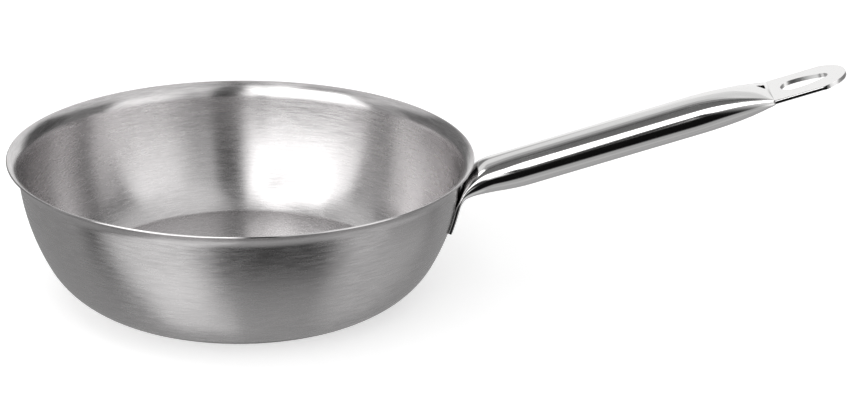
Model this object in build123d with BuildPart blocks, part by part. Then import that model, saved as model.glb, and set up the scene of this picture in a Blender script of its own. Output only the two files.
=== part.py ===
from build123d import *
from math import asin, cos, degrees, pi, radians, sin, sqrt, tan
import os

# A stainless saucier pan in millimetres: +Z up, the handle along +X.
# The origin is the centre of the flat underside, on the bowl's axis.

# Driving sizes of the bowl
rim_radius = 125.0
pan_height = 79.0
bowl_sheet = 1.0
lip_reach = 6.2
lip_lean = 70.0
lip_edge_radius = 0.35
neck_lean = 4.1
wall_radius = 121.0
foot_lean = 27.0
floor_corner_radius = 4.0

# Driving sizes of the sandwich base
cap_sheet = 0.8
disc_height = 6.2

# Driving sizes of the handle, one tube that rises from the wall
tube_radius = 10.5
tube_sheet = 1.1
handle_rise = 20.0
tube_top_depth = 3.6
tube_length = 83.0
flat_width = 34.4

# The press at the pan end: the bend on the wall, the tab under it and the run to the round tube
underside_lift = 5.5
underside_rise = 12.0
knee_radius = 100.0
knee_lead = 12.5
bend_radius = 5.0
throat_radius = 21.0
tab_length = 11.8

# The press at the hanging end and the flat plate beyond it. A power below 1 fills out the underside.
tip_press_length = 45.5
underside_power = 0.8
plate_length = 39.8
nose_radius = 17.5
eye_margin = 9.3
eye_length = 25.3
eye_blunt_radius = 7.4
eye_narrow_radius = 4.2

# The drain opening through the upper layer, before the plate
drain_setback = 2.3
drain_length = 4.4
drain_width = 7.6
drain_corner_radius = 0.6

# Steps of a press, steps that one smooth skin spans, and the degrees of crown that a flat side keeps
press_steps = 9
skin_steps = 3
least_corner = 0.05

cut_overrun = 5.0

# Worked sizes of the bowl's section
lean = radians(neck_lean)
turn = radians(foot_lean)
flare = radians(lip_lean)
neck_radius = rim_radius - lip_reach
lip_radius = lip_reach / (cos(lean) - cos(flare))
neck_depth = (lip_radius + bowl_sheet) * sin(flare) - lip_radius * sin(lean)
neck_height = pan_height - neck_depth
foot_top = neck_height - wall_radius * (sin(turn) - sin(lean))
foot_radius = foot_top / (1 - sin(turn))
rest_radius = neck_radius - wall_radius * (cos(lean) - cos(turn)) - foot_radius * cos(turn)
under_floor = cap_sheet + disc_height
floor_height = under_floor + bowl_sheet

lip_centre = (neck_radius + lip_radius * cos(lean), neck_height - lip_radius * sin(lean))
wall_centre = (neck_radius - wall_radius * cos(lean), neck_height + wall_radius * sin(lean))
foot_centre = (rest_radius, foot_radius)


def foot_angle(radius, height):
    """Degrees below level at which the foot curve of this radius passes the height."""
    return degrees(asin((foot_radius - height) / radius))


def foot_reach(radius, height):
    """Distance from the axis of the foot curve of this radius at the height."""
    return rest_radius + sqrt(radius**2 - (foot_radius - height) ** 2)


def wall_reach(radius, height):
    """Distance from the axis of the wall curve of this radius at the height."""
    return wall_centre[0] + sqrt(radius**2 - (height - wall_centre[1]) ** 2)


# Bowl: one drawn sheet with a flat floor, a curved wall and a flared pouring lip
floor_corner = foot_reach(foot_radius, under_floor)
inner_corner = foot_reach(foot_radius - bowl_sheet, floor_height)
outer_end = foot_angle(foot_radius, under_floor)
inner_end = foot_angle(foot_radius - bowl_sheet, floor_height)
with BuildPart() as bowl:
    with BuildSketch(Plane.XZ) as bowl_section:
        with BuildLine():
            Line((0, under_floor), (floor_corner, under_floor))
            CenterArc(foot_centre, foot_radius, -outer_end, outer_end - foot_lean)
            CenterArc(wall_centre, wall_radius, -foot_lean, foot_lean - neck_lean)
            underside = CenterArc(lip_centre, lip_radius, 180 - neck_lean, neck_lean - lip_lean)
            topside = CenterArc(lip_centre, lip_radius + bowl_sheet, 180 - lip_lean, lip_lean - neck_lean)
            Line(underside @ 1, topside @ 0)
            CenterArc(wall_centre, wall_radius - bowl_sheet, -neck_lean, neck_lean - foot_lean)
            CenterArc(foot_centre, foot_radius - bowl_sheet, -foot_lean, foot_lean - inner_end)
            Line((inner_corner, floor_height), (0, floor_height))
            Line((0, floor_height), (0, under_floor))
        make_face()
        corners = bowl_section.vertices()
        fillet(corners.sort_by_distance((floor_corner, under_floor))[0], floor_corner_radius + bowl_sheet)
        corners = bowl_section.vertices()
        fillet(corners.sort_by_distance((inner_corner, floor_height))[0], floor_corner_radius)
        fillet(bowl_section.vertices().group_by(Axis.X)[-1], lip_edge_radius)
        fillet(bowl_section.vertices().group_by(Axis.Y)[-1], lip_edge_radius)
    revolve(axis=Axis.Z)

# Heat disc: fills the cap up to the bowl's floor
core_radius = foot_radius - cap_sheet
with BuildPart() as heat_disc:
    with BuildSketch(Plane.XZ):
        with BuildLine():
            Line((0, cap_sheet), (rest_radius, cap_sheet))
            CenterArc(foot_centre, core_radius, -90, 90 - foot_angle(core_radius, under_floor))
            Line((foot_reach(core_radius, under_floor), under_floor), (0, under_floor))
            Line((0, under_floor), (0, cap_sheet))
        make_face()
    revolve(axis=Axis.Z)

# Base cap: carries the wall's curve on down to the flat underside
with BuildPart() as base_cap:
    with BuildSketch(Plane.XZ):
        with BuildLine():
            Line((0, 0), (rest_radius, 0))
            outside = CenterArc(foot_centre, foot_radius, -90, 90 - outer_end)
            inside = CenterArc(foot_centre, core_radius, -90, 90 - foot_angle(core_radius, under_floor))
            Line(outside @ 1, inside @ 1)
            Line((rest_radius, cap_sheet), (0, cap_sheet))
            Line((0, cap_sheet), (0, 0))
        make_face()
    revolve(axis=Axis.Z)

# Frame of the handle: its axis leaves the wall at this point and rises away from it
rise = radians(handle_rise)
axis_depth = tube_top_depth + tube_radius / cos(rise)
axis_height = pan_height - axis_depth
axis_start = Vector(wall_reach(wall_radius, axis_height), 0, axis_height)
along = Vector(cos(rise), 0, sin(rise))
above = Vector(-sin(rise), 0, cos(rise))
top_plane = Plane(origin=axis_start, x_dir=along, z_dir=above)
flat_half = flat_width / 2
round_length = 2 * pi * tube_radius
flat_length = 4 * (flat_half - tube_sheet) + 2 * pi * tube_sheet


def axis_point(run, up=0):
    """The point this far along the handle's axis and this far above it."""
    return axis_start + along * run + above * up


def section_plane(lower, upper):
    """The plane across the tube through a lower and an upper point."""
    return Plane(origin=(lower + upper) / 2, x_dir=(0, 1, 0), z_dir=Vector(0, 1, 0).cross(upper - lower))


def oval(lower, upper, bow_radius=0, inset=0):
    """One section of the pressed tube, an oval of four curves between two points.

    Its outline's length goes from the round tube's to the flat tube's as the height falls.
    A bow radius curls it round the pan's wall.
    """
    half = (upper - lower).length / 2
    roundness = (half - tube_sheet) / (tube_radius - tube_sheet)
    quarter = (flat_length + (round_length - flat_length) * roundness) / 4
    corner = radians(max(45 * roundness, least_corner))
    narrow = sin(corner) + cos(corner) - 1
    pull = (corner - pi / 2 * sin(corner)) / narrow
    width = (quarter + half * pull) / (pi / 2 + pull)
    spread = (width - half) / narrow
    crown_radius = width + spread * (1 - sin(corner)) - inset
    edge_radius = width - spread * sin(corner) - inset
    side_x = crown_radius * sin(corner)
    side_y = half - inset - crown_radius * (1 - cos(corner))
    lift = bow_radius - sqrt(bow_radius**2 - side_x**2) if bow_radius else 0
    tilt = cos(corner) * side_x / sqrt(bow_radius**2 - side_x**2) if bow_radius else 0
    across = cos(corner)
    down = sin(corner)
    corners = (
        (Vector(-side_x, lift + side_y), Vector(across, down - tilt)),
        (Vector(side_x, lift + side_y), Vector(across, tilt - down)),
        (Vector(side_x, lift - side_y), Vector(-across, -down - tilt)),
        (Vector(-side_x, lift - side_y), Vector(-across, down + tilt)),
    )
    crown_reach = crown_radius * tan(corner / 2) * 4 / 3
    edge_reach = edge_radius * tan((pi / 2 - corner) / 2) * 4 / 3
    sides = []
    for i, reach in enumerate((crown_reach, edge_reach, crown_reach, edge_reach)):
        start, heading = corners[i]
        end, end_heading = corners[(i + 1) % 4]
        sides.append(Bezier(start, start + heading * reach, end - end_heading * reach, end))
    return section_plane(lower, upper) * Face(Wire(sides))


def crossing(start, heading, other, other_heading):
    """Where a line through one point meets a line through another, in the upright plane."""
    gap = other - start
    skew = heading.X * other_heading.Z - heading.Z * other_heading.X
    return start + heading * ((gap.X * other_heading.Z - gap.Z * other_heading.X) / skew)


def wall_section(depth):
    """The flat tab's section at this depth below the rim, curled round the wall."""
    height = pan_height - depth
    tilt = asin((wall_centre[1] - height) / wall_radius)
    reach = wall_reach(wall_radius, height)
    inner = Vector(reach, 0, height)
    outer = inner + Vector(cos(tilt), 0, -sin(tilt)) * 2 * tube_sheet
    return inner, outer, reach / cos(tilt) + tube_sheet


# Guide lines of the pressed pan end, in the upright plane through the handle's axis
bend_depth = axis_depth + tube_radius / cos(rise) - underside_lift
tab_top_depth = bend_depth + bend_radius
tab_bottom_depth = tab_top_depth + tab_length
bend = wall_section(bend_depth)[1]
wall_foot, tab_face, tab_bow = wall_section(tab_top_depth)
up_wall = (wall_foot - tab_face).cross(Vector(0, 1, 0)).normalized()
under_way = radians(underside_rise)
knee = crossing(bend, Vector(cos(under_way), 0, sin(under_way)), axis_point(0, -tube_radius), along)
throat = crossing(wall_foot, up_wall, axis_point(0, tube_radius), along)
pan_press_end = (knee - axis_start).dot(along) + knee_lead
round_top = axis_point(pan_press_end, tube_radius)
round_bottom = axis_point(pan_press_end, -tube_radius)
upper_guide = FilletPolyline(round_top, throat, wall_foot, radius=throat_radius)
lower_guide = FilletPolyline(round_bottom, knee, bend, tab_face, radius=(knee_radius, bend_radius))

# Stations of the pan press from round to flat: shares of the two guides and of the wall's curl
lower_shares = (0, 0.19, 0.38, 0.54, 0.68, 0.785, 0.868, 0.912, 0.956, 1)
upper_shares = (0, 0.16, 0.32, 0.452, 0.571, 0.671, 0.765, 0.843, 0.922, 1)
curl_shares = (0, 0, 0, 0, 0, 0.15, 0.4, 0.65, 0.9, 1)
pan_stations = [
    (lower_guide @ low_share, upper_guide @ high_share, tab_bow / curl if curl else 0)
    for low_share, high_share, curl in zip(lower_shares, upper_shares, curl_shares)
]

# Stations of the tip press from round to flat: the top falls along a quarter of an ellipse
tip_press_start = pan_press_end + tube_length
plate_start = tip_press_start + tip_press_length
tip_stations = []
for step in range(press_steps + 1):
    turned = radians(90 * step / press_steps)
    sides = []
    for power in (underside_power, 1):
        run = tip_press_start + tip_press_length * sin(turned) ** power
        sides.append((run, tube_sheet + (tube_radius - tube_sheet) * cos(turned) ** power))
    (under_run, under_half), (top_run, top_half) = sides
    tip_stations.append((axis_point(under_run, -under_half), axis_point(top_run, top_half), 0))


def press_skins(stations, inset=0):
    """Loft the stations of a press a few at a time, so that the skin doesn't waver."""
    sections = [oval(*station, inset) for station in stations]
    starts = range(0, len(sections) - 1, skin_steps)
    return [loft(sections[start : start + skin_steps + 1]) for start in starts]


# Bore of the tube: one sheet inside it, closed where the two layers meet
with BuildPart() as bore:
    extrude(oval(round_bottom, round_top, inset=tube_sheet), amount=tube_length, dir=along)
    add(press_skins(pan_stations[:-1], tube_sheet))
    add(press_skins(tip_stations[:-1], tube_sheet))

# Handle: one tube, pressed flat and bent down on the wall at one end, pressed flat at the other
plate_end = plate_start + plate_length
nose_centre = plate_end - nose_radius
eye_end = plate_end - eye_margin
eye_start = eye_end - eye_length
eye_turn = eye_start + eye_blunt_radius
drain_end = plate_start - drain_setback
drain_start = drain_end - drain_length
with BuildPart() as handle:
    extrude(oval(round_bottom, round_top), amount=tube_length, dir=along)
    add(press_skins(pan_stations))
    add(press_skins(tip_stations))
    extrude(oval(*tip_stations[-1]), amount=plate_length + cut_overrun, dir=along)
    tab_depths = (tab_top_depth, tab_top_depth + tab_length / 2, tab_bottom_depth)
    tab_sections = [wall_section(depth) for depth in tab_depths]
    loft([oval(outer, inner, bow) for inner, outer, bow in tab_sections])
    add(bore.part, mode=Mode.SUBTRACT)

    # The nose, the egg-shaped hanging eye and the drain opening in the upper layer
    with BuildSketch(top_plane):
        with Locations((nose_centre, 0)):
            Rectangle(
                nose_radius + 2 * cut_overrun, flat_width + cut_overrun, align=(Align.MIN, Align.CENTER)
            )
            Circle(nose_radius, mode=Mode.SUBTRACT)
    extrude(amount=tube_radius, both=True, mode=Mode.SUBTRACT)
    with BuildSketch(top_plane):
        with BuildLine():
            narrow_turn = eye_end - eye_narrow_radius
            ThreePointArc((eye_turn, -eye_blunt_radius), (eye_start, 0), (eye_turn, eye_blunt_radius))
            TangentArc((eye_turn, eye_blunt_radius), (narrow_turn, eye_narrow_radius), tangent=(1, 0))
            ThreePointArc((narrow_turn, eye_narrow_radius), (eye_end, 0), (narrow_turn, -eye_narrow_radius))
            TangentArc((eye_turn, -eye_blunt_radius), (narrow_turn, -eye_narrow_radius), tangent=(1, 0))
        make_face()
    extrude(amount=tube_radius, both=True, mode=Mode.SUBTRACT)
    with BuildSketch(top_plane) as drain:
        with BuildLine():
            Polyline((drain_start, 0), (drain_end, -drain_width / 2), (drain_end, drain_width / 2), close=True)
        make_face()
        fillet(drain.vertices(), drain_corner_radius)
    extrude(amount=2 * tube_radius, mode=Mode.SUBTRACT)

    # The wall itself trims the inner face of the tab
    add(bowl.part, mode=Mode.SUBTRACT)

os.makedirs("parts", exist_ok=True)
for piece, name in ((bowl, "bowl"), (heat_disc, "heat_disc"), (base_cap, "base_cap"), (handle, "handle")):
    piece.part.label = name
    export_step(piece.part, f"parts/{name}.step")
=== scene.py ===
from math import asin, atan2, cos, degrees, pi, radians, sin, sqrt, tan

import bpy
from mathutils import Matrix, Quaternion, Vector


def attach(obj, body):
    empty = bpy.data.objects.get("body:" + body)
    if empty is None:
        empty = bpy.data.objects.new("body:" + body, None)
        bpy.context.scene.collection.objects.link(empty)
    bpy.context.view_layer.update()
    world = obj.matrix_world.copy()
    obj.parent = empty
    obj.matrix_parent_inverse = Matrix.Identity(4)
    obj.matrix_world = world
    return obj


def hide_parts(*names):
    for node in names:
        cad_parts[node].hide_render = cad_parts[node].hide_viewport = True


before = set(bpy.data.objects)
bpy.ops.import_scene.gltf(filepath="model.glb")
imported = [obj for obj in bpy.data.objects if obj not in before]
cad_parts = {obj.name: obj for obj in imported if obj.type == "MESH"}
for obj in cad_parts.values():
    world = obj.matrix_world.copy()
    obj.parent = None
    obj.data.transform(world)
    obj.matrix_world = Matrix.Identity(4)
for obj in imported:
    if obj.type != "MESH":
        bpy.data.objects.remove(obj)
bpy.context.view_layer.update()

bpy.ops.object.select_all(action="DESELECT")

# The bowl is one sheet of stainless steel, drawn to a curved wall round a flat floor, with its lip
# rolled out for pouring. It is brushed round and round, inside and out, on a turning spindle.
rim_radius = 0.125
pan_height = 0.079
bowl_sheet = 0.001
lip_reach = 0.0062
lip_lean = radians(70)
lip_end_lean = radians(69.5)
lip_edge_width = 0.00035
neck_lean = radians(4.1)
wall_radius = 0.121
foot_lean = radians(27)
floor_corner_radius = 0.004
floor_height = 0.008
floor_ring_shares = (0.97, 0.75, 0.5, 0.25, 0.1, 0.01)
lip_steps = 16
wall_steps = 12
foot_steps = 12
corner_steps = 8
lip_edge_steps = 4
sharp_corner = radians(60)
bowl_segments = 256

neck_radius = rim_radius - lip_reach
lip_radius = lip_reach / (cos(neck_lean) - cos(lip_lean))
neck_height = pan_height - (lip_radius + bowl_sheet) * sin(lip_lean) + lip_radius * sin(neck_lean)
foot_radius = (neck_height - wall_radius * (sin(foot_lean) - sin(neck_lean))) / (1 - sin(foot_lean))
wall_inset = wall_radius * (cos(neck_lean) - cos(foot_lean))
rest_radius = neck_radius - wall_inset - foot_radius * cos(foot_lean)
neck_run, neck_drop = cos(neck_lean), sin(neck_lean)
lip_centre = Vector((neck_radius + lip_radius * neck_run, neck_height - lip_radius * neck_drop))
wall_centre = Vector((neck_radius - wall_radius * neck_run, neck_height + wall_radius * neck_drop))
foot_centre = Vector((rest_radius, foot_radius))
corner_drop = foot_radius - floor_height - floor_corner_radius
corner_swing = foot_radius - bowl_sheet - floor_corner_radius
corner_centre = foot_centre + Vector((sqrt(corner_swing**2 - corner_drop**2), -corner_drop))
corner_lean = asin(corner_drop / corner_swing)


def turned_arc(centre, radius, start, end, steps):
    """Points of the bowl's section along an arc, each a distance from the axis and a height."""
    angles = [start + (end - start) * step / steps for step in range(1, steps + 1)]
    return [(centre.x + radius * cos(angle), centre.y + radius * sin(angle)) for angle in angles]


lip_top = lip_radius + bowl_sheet
lip_edge = (lip_centre.x - lip_top * cos(lip_end_lean), lip_centre.y + lip_top * sin(lip_end_lean))
bowl_section = turned_arc(lip_centre, lip_top, pi - lip_end_lean, pi - neck_lean, lip_steps)
bowl_section += turned_arc(wall_centre, wall_radius - bowl_sheet, -neck_lean, -foot_lean, wall_steps)
bowl_section += turned_arc(foot_centre, foot_radius - bowl_sheet, -foot_lean, -corner_lean, foot_steps)
bowl_section += turned_arc(corner_centre, floor_corner_radius, -corner_lean, -pi / 2, corner_steps)
floor_radius = bowl_section[-1][0]
bowl_section += [(floor_radius * share, floor_height) for share in floor_ring_shares]

bpy.ops.mesh.primitive_circle_add(
    vertices=bowl_segments, radius=lip_edge[0], fill_type="NOTHING", location=(0, 0, lip_edge[1])
)
bowl = bpy.context.object
bowl.name = "bowl_sheet"
bpy.ops.object.transform_apply(location=True, rotation=True, scale=True)
bpy.ops.object.mode_set(mode="EDIT")
bpy.ops.mesh.select_all(action="SELECT")
ring = lip_edge
for reach, height in bowl_section:
    bpy.ops.mesh.extrude_edges_move(TRANSFORM_OT_translate={"value": (0, 0, height - ring[1])})
    bpy.ops.transform.resize(value=(reach / ring[0], reach / ring[0], 1), center_override=(0, 0, 0))
    ring = (reach, height)
bpy.ops.mesh.merge(type="CENTER")
bpy.ops.mesh.select_all(action="SELECT")
bpy.ops.mesh.normals_make_consistent(inside=False)
bpy.ops.object.mode_set(mode="OBJECT")
floor_middle = min(bowl.data.polygons, key=lambda face: face.center.xy.length)
bpy.ops.object.mode_set(mode="EDIT")
if floor_middle.normal.z < 0:
    bpy.ops.mesh.flip_normals()
bpy.ops.object.mode_set(mode="OBJECT")
thicken = bowl.modifiers.new("sheet", "SOLIDIFY")
thicken.thickness = bowl_sheet
thicken.offset = -1
thicken.use_even_offset = True
bpy.ops.object.modifier_apply(modifier=thicken.name)
round_off = bowl.modifiers.new("lip_edge", "BEVEL")
round_off.width = lip_edge_width
round_off.segments = lip_edge_steps
round_off.limit_method = "ANGLE"
round_off.angle_limit = sharp_corner
bpy.ops.object.modifier_apply(modifier=round_off.name)
bpy.ops.object.shade_smooth()

# Brushing leaves fine scratches that run round the bowl's axis, each for a part of a turn, over a slow
# mottling. The steel's glint spreads across them. The rolled lip is smoother, and its edge is polished.
scratches_per_metre = 1000
breaks_per_turn = 12
mottles_per_metre = 25
scratch_detail = 2
scratch_roughness = 0.6
scratch_range = (0.3, 0.7)
axis_clearance = 0.001
steel_colour = (0.66, 0.645, 0.647)
scratch_shade = 0.8
brushed_roughness = 0.26
roughness_swing = 0.03
glint_stretch = 0.9
glint_turn = 0.25
scratch_strength = 0.05
scratch_depth = 0.0001
lip_gloss = 0.8
lip_fade_height = 0.005
edge_gloss = 0.5
edge_band = (lip_edge[0] - 0.0003, lip_edge[0] - 0.0002)


def reckon(tree, operation, *values):
    """A Math node, with each value a number or the socket that feeds it."""
    node = tree.nodes.new("ShaderNodeMath")
    node.operation = operation
    for socket, value in zip(node.inputs, values):
        if isinstance(value, (int, float)):
            socket.default_value = value
        else:
            tree.links.new(value, socket)
    return node.outputs[0]


def spread(tree, value, low, high, start=0.0, end=1.0, curve="LINEAR"):
    """Carries a value over from one range, start to end, to another, low to high."""
    node = tree.nodes.new("ShaderNodeMapRange")
    node.interpolation_type = curve
    limits = {"From Min": start, "From Max": end, "To Min": low, "To Max": high}
    for name, limit in limits.items():
        node.inputs[name].default_value = limit
    tree.links.new(value, node.inputs["Value"])
    return node.outputs[0]


def split(tree, vector):
    """The three parts of a vector."""
    node = tree.nodes.new("ShaderNodeSeparateXYZ")
    tree.links.new(vector, node.inputs[0])
    return node.outputs


def noise(tree, place, scale, detail=2.0):
    """A noise pattern over a place."""
    node = tree.nodes.new("ShaderNodeTexNoise")
    node.inputs["Scale"].default_value = scale
    node.inputs["Detail"].default_value = detail
    tree.links.new(place, node.inputs["Vector"])
    return node


brushing = bpy.data.node_groups.new("brushed_rings", "ShaderNodeTree")
for name in ("Lines per Metre", "Breaks per Turn", "Mottles per Metre"):
    brushing.interface.new_socket(name, in_out="INPUT", socket_type="NodeSocketFloat")
for name in ("Scratches", "Mottling", "Reach"):
    brushing.interface.new_socket(name, in_out="OUTPUT", socket_type="NodeSocketFloat")
asked = brushing.nodes.new("NodeGroupInput").outputs
given = brushing.nodes.new("NodeGroupOutput").inputs
object_place = brushing.nodes.new("ShaderNodeTexCoord").outputs["Object"]
east, north, upward = split(brushing, object_place)
east_squared = reckon(brushing, "MULTIPLY", east, east)
north_squared = reckon(brushing, "MULTIPLY", north, north)
reach = reckon(brushing, "SQRT", reckon(brushing, "ADD", east_squared, north_squared))
reach = reckon(brushing, "MAXIMUM", reach, axis_clearance)
turn_east = reckon(brushing, "DIVIDE", east, reach)
turn_north = reckon(brushing, "DIVIDE", north, reach)
ring_place = brushing.nodes.new("ShaderNodeCombineXYZ")
ring_parts = ((reach, "Lines per Metre"), (upward, "Lines per Metre"), (turn_east, "Breaks per Turn"))
for socket, (part, times) in zip(ring_place.inputs, ring_parts):
    brushing.links.new(reckon(brushing, "MULTIPLY", part, asked[times]), socket)
scratch_noise = noise(brushing, ring_place.outputs[0], 1, scratch_detail)
scratch_noise.noise_dimensions = "4D"
scratch_noise.inputs["Roughness"].default_value = scratch_roughness
fourth_part = reckon(brushing, "MULTIPLY", turn_north, asked["Breaks per Turn"])
brushing.links.new(fourth_part, scratch_noise.inputs["W"])
mottle_noise = noise(brushing, object_place, 1)
brushing.links.new(asked["Mottles per Metre"], mottle_noise.inputs["Scale"])
brushing.links.new(spread(brushing, scratch_noise.outputs[0], 0, 1, *scratch_range), given["Scratches"])
brushing.links.new(mottle_noise.outputs[0], given["Mottling"])
brushing.links.new(reach, given["Reach"])


def brushed_steel(name):
    """Steel that is brushed round the Z axis, smoother above the neck and on the lip's edge."""
    steel = bpy.data.materials.new(name)
    steel.use_nodes = True
    tree = steel.node_tree
    shader = tree.nodes["Principled BSDF"]
    shader.inputs["Metallic"].default_value = 1
    shader.inputs["Anisotropic"].default_value = glint_stretch
    shader.inputs["Anisotropic Rotation"].default_value = glint_turn
    grain = tree.nodes.new("ShaderNodeGroup")
    grain.node_tree = brushing
    grain.inputs["Lines per Metre"].default_value = scratches_per_metre
    grain.inputs["Breaks per Turn"].default_value = breaks_per_turn
    grain.inputs["Mottles per Metre"].default_value = mottles_per_metre
    scratches, mottling, reach = grain.outputs
    tone = tree.nodes.new("ShaderNodeMix")
    tone.data_type = "RGBA"
    tone.inputs["A"].default_value = [channel * scratch_shade for channel in steel_colour] + [1]
    tone.inputs["B"].default_value = [*steel_colour, 1]
    tree.links.new(scratches, tone.inputs["Factor"])
    tree.links.new(tone.outputs["Result"], shader.inputs["Base Color"])
    least, most = brushed_roughness - roughness_swing, brushed_roughness + roughness_swing
    rough = reckon(tree, "ADD", spread(tree, scratches, least, most),
                   spread(tree, mottling, -roughness_swing, roughness_swing))
    height = split(tree, tree.nodes.new("ShaderNodeTexCoord").outputs["Object"])[2]
    near_lip = spread(tree, height, 1, lip_gloss, neck_height, neck_height + lip_fade_height, "SMOOTHSTEP")
    rough = reckon(tree, "MULTIPLY", rough, near_lip)
    rough = reckon(tree, "MULTIPLY", rough, spread(tree, reach, 1, edge_gloss, *edge_band))
    tree.links.new(rough, shader.inputs["Roughness"])
    tangent = tree.nodes.new("ShaderNodeTangent")
    tangent.direction_type = "RADIAL"
    tangent.axis = "Z"
    tree.links.new(tangent.outputs[0], shader.inputs["Tangent"])
    bump = tree.nodes.new("ShaderNodeBump")
    bump.inputs["Strength"].default_value = scratch_strength
    bump.inputs["Distance"].default_value = scratch_depth
    tree.links.new(scratches, bump.inputs["Height"])
    tree.links.new(bump.outputs[0], shader.inputs["Normal"])
    return steel


bowl.data.materials.append(brushed_steel("bowl_brushed"))
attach(bowl, "root")
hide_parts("bowl")

# The cap is a thin disc of magnetic steel, pressed over the heat disc and ground flat underneath.
# Its curved side goes on from the bowl's wall, and it is brushed in rings with it.
base_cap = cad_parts["base_cap"]
base_cap.data.materials.clear()
base_cap.data.materials.append(brushed_steel("cap_brushed"))

# The heat disc between them is plain rolled aluminium, closed in by the cap and bonded to it.
# It is cut from sheet, and its finish is that of the rolls, a little uneven.
aluminium_colour = (0.8, 0.8, 0.82)
aluminium_roughness = (0.3, 0.5)
rolling_marks_per_metre = 400

heat_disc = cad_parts["heat_disc"]
aluminium = bpy.data.materials.new("disc_aluminium")
aluminium.use_nodes = True
tree = aluminium.node_tree
shader = tree.nodes["Principled BSDF"]
shader.inputs["Metallic"].default_value = 1
shader.inputs["Base Color"].default_value = (*aluminium_colour, 1)
object_place = tree.nodes.new("ShaderNodeTexCoord").outputs["Object"]
rolling = noise(tree, object_place, rolling_marks_per_metre)
tree.links.new(spread(tree, rolling.outputs[0], *aluminium_roughness), shader.inputs["Roughness"])
heat_disc.data.materials.clear()
heat_disc.data.materials.append(aluminium)

# The handle is one stainless tube, polished all over. Its pan end is pressed flat and bent down into
# a tab that is welded to the wall. Its far end is pressed flat into a plate, with an eye to hang it
# by and a small opening before it, where water drains from the tube.
tube_radius = 0.0105
tube_sheet = 0.0011
tube_length = 0.083
tube_top_depth = 0.0036
handle_rise = radians(20)
flat_half = 0.0172
round_corner = radians(45)
least_corner = radians(0.05)
fold_fade_share = 0.2
fold_bluntness = 0.5
tab_length = 0.0118
bend_radius = 0.005
throat_radius = 0.021
knee_radius = 0.1
knee_lead = 0.0125
underside_lift = 0.0055
underside_rise = radians(12)
tip_press_length = 0.0455
underside_power = 0.8
plate_length = 0.0398
nose_radius = 0.0175
eye_margin = 0.0093
eye_length = 0.0253
eye_blunt_radius = 0.0074
eye_narrow_radius = 0.0042
drain_setback = 0.0023
drain_length = 0.0044
drain_width = 0.0076
drain_corner_radius = 0.0006
crease_angle = radians(35)
tab_rings = 5
curl_rings = 4
tube_rings = 6
tip_rings = 30
plate_rings = 4
quarter_points = 24
nose_steps = 31
eye_blunt_steps = 32
eye_narrow_steps = 20
eye_side_steps = 10
drain_corner_steps = 6

sideways = Vector((0, 1, 0))
along = Vector((cos(handle_rise), 0, sin(handle_rise)))
above = Vector((-sin(handle_rise), 0, cos(handle_rise)))
axis_depth = tube_top_depth + tube_radius / cos(handle_rise)
round_length = 2 * pi * tube_radius
flat_length = 4 * (flat_half - tube_sheet) + 2 * pi * tube_sheet


def wall_layer(depth):
    """Inner and outer point of the flat tab at this depth below the rim, and the bow of the wall there."""
    level = pan_height - depth
    reach = wall_centre.x + sqrt(wall_radius**2 - (level - wall_centre.y) ** 2)
    tilt = asin((wall_centre.y - level) / wall_radius)
    inner = Vector((reach, 0, level))
    outer = inner + Vector((cos(tilt), 0, -sin(tilt))) * 2 * tube_sheet
    return inner, outer, reach / cos(tilt) + tube_sheet


axis_start = wall_layer(axis_depth)[0]


def axis_point(run, up=0.0):
    """The point this far along the handle's axis and this far above it."""
    return axis_start + along * run + above * up


def crossing(start, heading, other, other_heading):
    """Where two lines meet in the upright plane through the handle's axis."""
    gap = other - start
    skew = heading.x * other_heading.z - heading.z * other_heading.x
    return start + heading * ((gap.x * other_heading.z - gap.z * other_heading.x) / skew)


def guide_point(corners, radii, share):
    """The point at a share of the length of a line with rounded corners."""
    legs = []
    here = corners[0]
    for before, corner, after, radius in zip(corners, corners[1:], corners[2:], radii):
        into = (corner - before).normalized()
        out = (after - corner).normalized()
        turn = into.angle(out)
        bend_start = corner - into * radius * tan(turn / 2)
        legs.append(((bend_start - here).length, here, into, into, 0))
        legs.append((radius * turn, bend_start, into, (out - into * into.dot(out)).normalized(), radius))
        here = corner + out * radius * tan(turn / 2)
    rest = corners[-1] - here
    legs.append((rest.length, here, rest.normalized(), rest, 0))
    left = share * sum(leg[0] for leg in legs)
    while len(legs) > 1 and left > legs[0][0]:
        left -= legs.pop(0)[0]
    start, heading, inward, radius = legs[0][1:]
    if radius:
        return start + heading * radius * sin(left / radius) + inward * radius * (1 - cos(left / radius))
    return start + heading * left


def between(values, place):
    """A smooth value at a place between two entries of a list."""
    step = min(int(place), len(values) - 2)
    first, last = values[step], values[step + 1]
    before = values[step - 1] if step else 2 * first - last
    after = values[step + 2] if step + 2 < len(values) else 2 * last - first
    part = place - step
    leaving = (last - before) / 2 * (part - 2 * part**2 + part**3)
    arriving = (after - first) / 2 * (part**3 - part**2)
    return first + (last - first) * (3 * part**2 - 2 * part**3) + (leaving + arriving)


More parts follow.
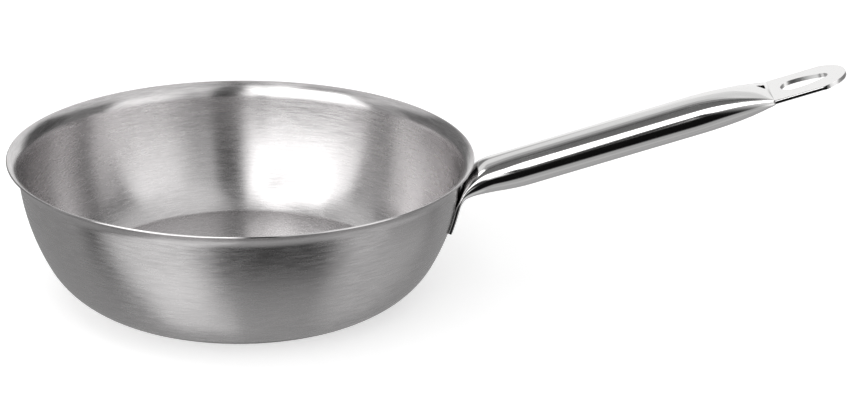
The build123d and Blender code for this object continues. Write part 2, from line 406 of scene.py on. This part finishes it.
def pressed_quarter(half):
    """A quarter of a section this half high, as distances across and up: a crown arc, then the fold.

    The outline keeps its length from round to flat, and a flat fold is a little blunter than an arc.
    """
    roundness = (half - tube_sheet) / (tube_radius - tube_sheet)
    quarter = (flat_length + (round_length - flat_length) * roundness) / 4
    corner = max(round_corner * roundness, least_corner)
    narrow = sin(corner) + cos(corner) - 1
    pull = (corner - pi / 2 * sin(corner)) / narrow
    width = (quarter + half * pull) / (pi / 2 + pull)
    widening = (width - half) / narrow
    crown_radius = width + widening * (1 - sin(corner))
    fold_radius = width - widening * sin(corner)
    crown_share = (crown_radius * corner / quarter + corner * 2 / pi) / 2
    blunt = 1 - fold_bluntness * max(1 - roundness / fold_fade_share, 0)
    points = []
    for step in range(quarter_points + 1):
        share = step / quarter_points
        if share < crown_share:
            swing = corner * share / crown_share
            points.append((crown_radius * sin(swing), half - crown_radius * (1 - cos(swing))))
        else:
            swing = corner + (pi / 2 - corner) * (share - crown_share) / (1 - crown_share)
            across = width - fold_radius * (1 - sin(swing) ** blunt)
            points.append((across, fold_radius * max(cos(swing), 0) ** blunt))
    return points


def pressed_ring(lower, upper, bow_curve=0.0):
    """Points round one section of the tube, from its lowest and highest points and its bow."""
    corners = pressed_quarter((upper - lower).length / 2)
    ring = corners[:-1] + [(across, -up) for across, up in corners[:0:-1]]
    ring += [(-across, -up) for across, up in ring]
    upright = (upper - lower).normalized()
    middle = (upper + lower) / 2
    places = []
    for across, up in ring:
        lift = (1 - sqrt(1 - (bow_curve * across) ** 2)) / bow_curve if bow_curve else 0
        places.append(middle + sideways * across + upright * (up + lift))
    return places


bend_depth = axis_depth + tube_radius / cos(handle_rise) - underside_lift
tab_top_depth = bend_depth + bend_radius
bend = wall_layer(bend_depth)[1]
wall_foot, tab_face, tab_bow = wall_layer(tab_top_depth)
up_wall = (wall_foot - tab_face).cross(sideways).normalized()
under_way = Vector((cos(underside_rise), 0, sin(underside_rise)))
knee = crossing(bend, under_way, axis_point(0, -tube_radius), along)
throat = crossing(wall_foot, up_wall, axis_point(0, tube_radius), along)
pan_press_end = (knee - axis_start).dot(along) + knee_lead
lower_corners = (axis_point(pan_press_end, -tube_radius), knee, bend, tab_face)
upper_corners = (axis_point(pan_press_end, tube_radius), throat, wall_foot)
lower_shares = (0, 0.19, 0.38, 0.54, 0.68, 0.785, 0.868, 0.912, 0.956, 1)
upper_shares = (0, 0.16, 0.32, 0.452, 0.571, 0.671, 0.765, 0.843, 0.922, 1)
curl_shares = (0, 0, 0, 0, 0, 0.15, 0.4, 0.65, 0.9, 1)

rings = []
for step in range(tab_rings):
    inner, outer, bow = wall_layer(tab_top_depth + tab_length * (1 - step / tab_rings))
    rings.append(pressed_ring(outer, inner, 1 / bow))
for step in range(curl_rings * (len(curl_shares) - 1), -1, -1):
    place = step / curl_rings
    lower = guide_point(lower_corners, (knee_radius, bend_radius), between(lower_shares, place))
    upper = guide_point(upper_corners, (throat_radius,), between(upper_shares, place))
    rings.append(pressed_ring(lower, upper, max(between(curl_shares, place), 0) / tab_bow))
for step in range(1, tube_rings):
    run = pan_press_end + tube_length * step / tube_rings
    rings.append(pressed_ring(axis_point(run, -tube_radius), axis_point(run, tube_radius)))
tip_press_start = pan_press_end + tube_length
for step in range(tip_rings + 1):
    turned = pi / 2 * step / tip_rings
    sides = []
    for power in (underside_power, 1):
        run = tip_press_start + tip_press_length * sin(turned) ** power
        sides.append((run, tube_sheet + (tube_radius - tube_sheet) * max(cos(turned), 0) ** power))
    (under_run, under_half), (top_run, top_half) = sides
    rings.append(pressed_ring(axis_point(under_run, -under_half), axis_point(top_run, top_half)))
plate_start = tip_press_start + tip_press_length
plate_end = plate_start + plate_length
blank_end = plate_end + tube_radius
for step in range(1, plate_rings + 1):
    run = plate_start + (blank_end - plate_start) * step / plate_rings
    rings.append(pressed_ring(axis_point(run, -tube_sheet), axis_point(run, tube_sheet)))

ring_points = 4 * quarter_points
bpy.ops.mesh.primitive_circle_add(vertices=ring_points, radius=tube_radius, fill_type="NGON")
handle = bpy.context.object
handle.name = "handle_tube"
bpy.ops.object.mode_set(mode="EDIT")
bpy.ops.mesh.select_all(action="SELECT")
for _ in rings[1:]:
    bpy.ops.mesh.extrude_region_move(TRANSFORM_OT_translate={"value": (0, 0, tube_radius)})
bpy.ops.mesh.select_all(action="DESELECT")
bpy.ops.object.mode_set(mode="OBJECT")
for vertex in handle.data.vertices:
    ring = round(vertex.co.z / tube_radius)
    place = round(atan2(vertex.co.x, vertex.co.y) / (2 * pi) * ring_points)
    vertex.co = rings[ring][place % ring_points]
bpy.ops.object.mode_set(mode="EDIT")
bpy.ops.mesh.select_all(action="SELECT")
bpy.ops.mesh.normals_make_consistent(inside=False)
bpy.ops.object.mode_set(mode="OBJECT")


def punch(name, outline, bottom, top):
    """Cuts an outline, given along and across the plate, out of the handle between two heights."""
    bpy.ops.object.select_all(action="DESELECT")
    bpy.ops.mesh.primitive_circle_add(vertices=len(outline), radius=1, fill_type="NGON")
    tool = bpy.context.object
    tool.name = name
    for vertex, (run, across) in zip(tool.data.vertices, outline):
        vertex.co = axis_point(run, bottom) + sideways * across
    bpy.ops.object.mode_set(mode="EDIT")
    bpy.ops.mesh.select_all(action="SELECT")
    bpy.ops.mesh.extrude_region_move(TRANSFORM_OT_translate={"value": above * (top - bottom)})
    bpy.ops.mesh.select_all(action="SELECT")
    bpy.ops.mesh.normals_make_consistent(inside=False)
    bpy.ops.object.mode_set(mode="OBJECT")
    cut = handle.modifiers.new(name, "BOOLEAN")
    cut.operation = "DIFFERENCE"
    cut.solver = "EXACT"
    cut.object = tool
    bpy.ops.object.select_all(action="DESELECT")
    bpy.context.view_layer.objects.active = handle
    handle.select_set(True)
    bpy.ops.object.modifier_apply(modifier=cut.name)
    bpy.data.objects.remove(tool, do_unlink=True)


def swept(centre, radius, start, end, steps):
    """Points along an arc in the plate's plane, from one angle to another, in degrees."""
    angles = [radians(start + (end - start) * step / steps) for step in range(steps + 1)]
    return [(centre[0] + radius * cos(angle), centre[1] + radius * sin(angle)) for angle in angles]


nose_centre = plate_end - nose_radius
blade_end = blank_end + tube_radius
blade_half = 3 * tube_radius
nose_outline = swept((nose_centre, 0), nose_radius, -90, 90, nose_steps)
nose_outline += [(nose_centre, blade_half), (blade_end, blade_half)]
nose_outline += [(blade_end, -blade_half), (nose_centre, -blade_half)]
punch("nose_shear", nose_outline, -tube_radius, tube_radius)

eye_end = plate_end - eye_margin
eye_start = eye_end - eye_length
eye_turn = eye_start + eye_blunt_radius
eye_narrow = eye_end - eye_narrow_radius
eye_fall = eye_blunt_radius - eye_narrow_radius
eye_run = eye_narrow - eye_turn
side_radius = (eye_run**2 + eye_fall**2) / (2 * eye_fall)
side_turn = 2 * degrees(atan2(eye_fall, eye_run))
side_offset = side_radius - eye_blunt_radius
eye_outline = swept((eye_turn, 0), eye_blunt_radius, 90, 270, eye_blunt_steps)[:-1]
eye_outline += swept((eye_turn, side_offset), side_radius, -90, side_turn - 90, eye_side_steps)[:-1]
eye_outline += swept((eye_narrow, 0), eye_narrow_radius, -90, 90, eye_narrow_steps)[:-1]
eye_outline += swept((eye_turn, -side_offset), side_radius, 90 - side_turn, 90, eye_side_steps)[:-1]
punch("eye_punch", eye_outline, -tube_radius, tube_radius)

drain_end = plate_start - drain_setback
drain_start = drain_end - drain_length
drain_corners = ((drain_start, 0), (drain_end, -drain_width / 2), (drain_end, drain_width / 2))
drain_outline = []
for place, corner in enumerate(drain_corners):
    corner = Vector(corner)
    before = (Vector(drain_corners[place - 1]) - corner).normalized()
    after = (Vector(drain_corners[place - 2]) - corner).normalized()
    opening = before.angle(after)
    centre = corner + (before + after).normalized() * drain_corner_radius / sin(opening / 2)
    facing = degrees(atan2(*reversed(corner - centre)))
    swing = 90 - degrees(opening) / 2
    facings = (facing - swing, facing + swing)
    drain_outline += swept(centre, drain_corner_radius, *facings, drain_corner_steps)
punch("drain_punch", drain_outline, 0, 2 * tube_radius)
bpy.ops.object.shade_smooth_by_angle(angle=crease_angle)

polish_colour = (0.84, 0.835, 0.83)
polish_roughness = (0.05, 0.13)
wear_marks_per_metre = 90
wear_detail = 4
sheared_roughness = 0.3
sheared_half = 0.9 * tube_sheet

polished = bpy.data.materials.new("handle_polish")
polished.use_nodes = True
tree = polished.node_tree
shader = tree.nodes["Principled BSDF"]
shader.inputs["Metallic"].default_value = 1
shader.inputs["Base Color"].default_value = (*polish_colour, 1)
object_place = tree.nodes.new("ShaderNodeTexCoord").outputs["Object"]


def measured(heading, start):
    """How far a point of the handle lies from a start, along a heading."""
    node = tree.nodes.new("ShaderNodeVectorMath")
    node.operation = "DOT_PRODUCT"
    node.inputs[1].default_value = heading
    tree.links.new(object_place, node.inputs[0])
    return reckon(tree, "SUBTRACT", node.outputs["Value"], start.dot(heading))


height_off = reckon(tree, "ABSOLUTE", measured(above, axis_start))
side_off = reckon(tree, "ABSOLUTE", measured(sideways, axis_start))
between_faces = reckon(tree, "LESS_THAN", height_off, sheared_half)
between_folds = reckon(tree, "LESS_THAN", side_off, flat_half - tube_sheet)
on_plate = reckon(tree, "GREATER_THAN", measured(along, axis_point(plate_start)), 0)
sheared = reckon(tree, "MULTIPLY", on_plate, reckon(tree, "MULTIPLY", between_faces, between_folds))
wear = noise(tree, object_place, wear_marks_per_metre, wear_detail)
rough = reckon(tree, "MAXIMUM", spread(tree, wear.outputs[0], *polish_roughness),
               reckon(tree, "MULTIPLY", sheared, sheared_roughness))
tree.links.new(rough, shader.inputs["Roughness"])
handle.data.materials.clear()
handle.data.materials.append(polished)
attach(handle, "root")
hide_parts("handle")

# The pan stands on a plain pale floor that runs on past the picture. It carries the pan's shadow, and
# the steel doesn't mirror it: the lower half of the studio, below, stands in for it there.
floor_side = 12
floor_grey = 0.8
floor_lift = 0.5

bpy.ops.mesh.primitive_plane_add(size=floor_side, location=(0, 0, 0))
ground = bpy.context.object
ground.name = "floor"
ground.visible_glossy = False
pale = bpy.data.materials.new("floor_pale")
pale.use_nodes = True
tree = pale.node_tree
shader = tree.nodes["Principled BSDF"]
shader.inputs["Base Color"].default_value = (floor_grey, floor_grey, floor_grey, 1)
shader.inputs["Roughness"].default_value = 1
shader.inputs["Specular IOR Level"].default_value = 0
shader.inputs["Emission Color"].default_value = (1, 1, 1, 1)
path = tree.nodes.new("ShaderNodeLightPath")
lift = reckon(tree, "MULTIPLY", path.outputs["Is Camera Ray"], floor_lift)
tree.links.new(lift, shader.inputs["Emission Strength"])
ground.data.materials.append(pale)

# The studio is painted by direction, as soft-edged boxes, and a later box covers an earlier one. Each
# has two bearings (0 is towards the camera, and right is plus) and their softness, two climbs and
# theirs, all in degrees, and then how bright it is. The lower half is the floor that the steel mirrors.
camera_turn = radians(8.0)
room_parts = (
    ("walls", -200, 200, 3, -6, 95, 3, 0.8),
    ("left wall", -181, -98, 4, -6, 38, 4, 0.21),
    ("wall by the soft box", -98, -72, 4, -6, 38, 4, 0.45),
    ("window on the right", 21, 90, 8, -6, 40, 4, 0.6),
    ("brightest part of the window", 36, 90, 12, -6, 40, 4, 1.45),
    ("right wall", 76, 118, 5, -6, 42, 4, 0.25),
    ("right wall, further back", 112, 150, 9, -6, 38, 4, 0.1),
    ("ceiling", -200, 200, 3, 60, 95, 4, 0.74),
    ("high window on the right", 24, 80, 6, 40, 72, 4, 1.0),
    ("ceiling in front", -60, -4, 6, 64, 78, 4, 1.6),
    ("ceiling behind on the right", 84, 166, 6, 58, 80, 4, 0.9),
    ("ceiling behind on the left", -160, -70, 6, 75, 84, 3, 1.1),
    ("ceiling overhead", -200, 200, 3, 82, 95, 3, 0.25),
    ("dark ceiling over the camera", -2, 18, 4, 36, 95, 4, 0.2),
    ("dark ceiling behind", 168, 192, 6, 64, 95, 4, 0.2),
    ("dark room behind the camera", 1, 17, 3, -6, 38, 3, 0.04),
    ("left of the soft box", -72, -53, 3, -4, 50, 3, 2.0),
    ("soft box", -57, -4, 7, 3, 33, 2, 2.7),
    ("lamp over the soft box", -17, -4, 5, 32, 60, 3, 2.4),
    ("flag before the soft box", -14.5, -7, 2, -5, 11, 3, 0.02),
    ("shade on the left", -126, -82, 8, 58, 73, 3, 0.44),
    ("shade over the soft box", -90, -64, 5, 60, 73, 2, 0.22),
    ("dark rail over the soft box", -68, -46, 3, 53, 68, 2, 0.1),
    ("dark rail beside the lamp", -50, -32, 3, 43, 62, 2, 0.14),
    ("dark end of the rail", -38, -19, 2, 35, 57, 2, 0.15),
    ("floor", -200, 200, 3, -95, -6, 3, 0.42),
    ("floor behind on the left", -200, -92, 3, -62, -6, 3, 0.36),
    ("floor behind on the right", 118, 181, 3, -62, -6, 3, 0.38),
    ("floor on the right", 56, 118, 5, -66, -24, 3, 0.58),
    ("far floor by the right wall", 76, 118, 3, -24, -5, 2, 0.14),
    ("floor in front", -40, 56, 6, -66, -50, 5, 0.42),
    ("dark floor in front", -46, 52, 12, -47, -3, 5, 0.005),
    ("far floor under the window", 42, 76, 8, -20, -5, 2, 0.6),
    ("floor lit by the soft box", -77, -21, 15, -66, -38, 4, 1.1),
    ("far floor lit by the soft box", -77, -22, 14, -38, -3, 4, 0.8),
    ("near floor on the left", -98, -8, 8, -95, -66, 4, 0.9),
    ("near floor in front", -8, 60, 8, -95, -64, 4, 0.5),
    ("dark gap on the left", -91, -79, 3, -64, -6, 3, 0.07),
)
backdrop_parts = ((152, 200, 4, -8, 54, 4), (-200, -168, 8, -8, 46, 6))

studio = bpy.data.worlds.new("studio")
studio.use_nodes = True
bpy.context.scene.world = studio
bpy.context.scene.view_settings.view_transform = "Standard"
tree = studio.node_tree
sky = tree.nodes["Background"]
east, north, upward = split(tree, tree.nodes.new("ShaderNodeTexCoord").outputs["Generated"])


def turned_part(east_share, north_share):
    """The part of a direction that points along a level line, given by its shares of east and north."""
    east_part = reckon(tree, "MULTIPLY", east, east_share)
    return reckon(tree, "ADD", east_part, reckon(tree, "MULTIPLY", north, north_share))


toward = turned_part(sin(camera_turn), -cos(camera_turn))
rightward = turned_part(cos(camera_turn), sin(camera_turn))
bearing = reckon(tree, "ARCTAN2", rightward, toward)
climb = reckon(tree, "ARCSINE", upward)


def soft_band(value, low, high, blur):
    """Mask of the values between two limits, with soft edges."""
    rise = spread(tree, value, 0, 1, low - blur, low + blur, "SMOOTHSTEP")
    fall = spread(tree, value, 0, 1, high + blur, high - blur, "SMOOTHSTEP")
    return reckon(tree, "MULTIPLY", rise, fall)


def soft_box(*angles):
    """Mask of a soft-edged box: two bearings and their softness, two climbs and theirs, in degrees."""
    left, right, blur, bottom, top, fade = [radians(angle) for angle in angles]
    across = soft_band(bearing, left, right, blur)
    return reckon(tree, "MULTIPLY", across, soft_band(climb, bottom, top, fade))


def blend(mask, first, second):
    """The first value where the mask is 0, and the second where it is 1."""
    node = tree.nodes.new("ShaderNodeMix")
    for socket, value in (("Factor", mask), ("A", first), ("B", second)):
        if isinstance(value, (int, float)):
            node.inputs[socket].default_value = value
        else:
            tree.links.new(value, node.inputs[socket])
    return node.outputs[0]


lit = 0.0
for name, *angles, brightness in room_parts:
    lit = blend(soft_box(*angles), lit, brightness)

# Straight behind the pan hangs a white backdrop. It is what the camera sees, and what polished steel
# mirrors from behind the pan, and it adds no light to it.
path = tree.nodes.new("ShaderNodeLightPath")
backdrop = reckon(tree, "MAXIMUM", *[soft_box(*part) for part in backdrop_parts])
mirrored = reckon(tree, "MULTIPLY", path.outputs["Is Glossy Ray"], backdrop)
white = reckon(tree, "MAXIMUM", mirrored, path.outputs["Is Transmission Ray"])
white = reckon(tree, "MAXIMUM", white, path.outputs["Is Camera Ray"])
tree.links.new(blend(white, lit, 1.0), sky.inputs["Color"])

# A small soft light hangs close over the left of the pan. It whitens the foot of the far wall inside,
# and from so near it stays out of what the handle mirrors.
near_light_place = Vector((-0.143, -0.111, 0.387))
near_light_aim = Vector((0.023, 0.087, 0.018))
near_light_width = 0.22
near_light_watts = 0.32

bpy.ops.object.light_add(type="AREA", location=near_light_place)
near_light = bpy.context.object
near_light.rotation_euler = (near_light_aim - near_light_place).to_track_quat("-Z", "Y").to_euler()
near_light.data.shape = "DISK"
near_light.data.size = near_light_width
near_light.data.energy = near_light_watts
near_light.visible_camera = False

# The camera looks down at the pan from a little to the handle's side of its front. It has a long
# lens, and it is rolled a little, as in the photograph.
camera_distance = 1.0
camera_climb = radians(19.52)
camera_roll = radians(1.716)
camera_aim = Vector((0.1001, 0, 0.0514))
camera_lens = 77.8

bpy.ops.object.camera_add()
camera = bpy.context.object
camera.location = (
    camera_distance * cos(camera_climb) * sin(camera_turn),
    -camera_distance * cos(camera_climb) * cos(camera_turn),
    pan_height + camera_distance * sin(camera_climb),
)
level = (camera_aim - camera.location).to_track_quat("-Z", "Y")
camera.rotation_euler = (level @ Quaternion((0, 0, 1), camera_roll)).to_euler()
camera.data.lens = camera_lens
bpy.context.scene.camera = camera
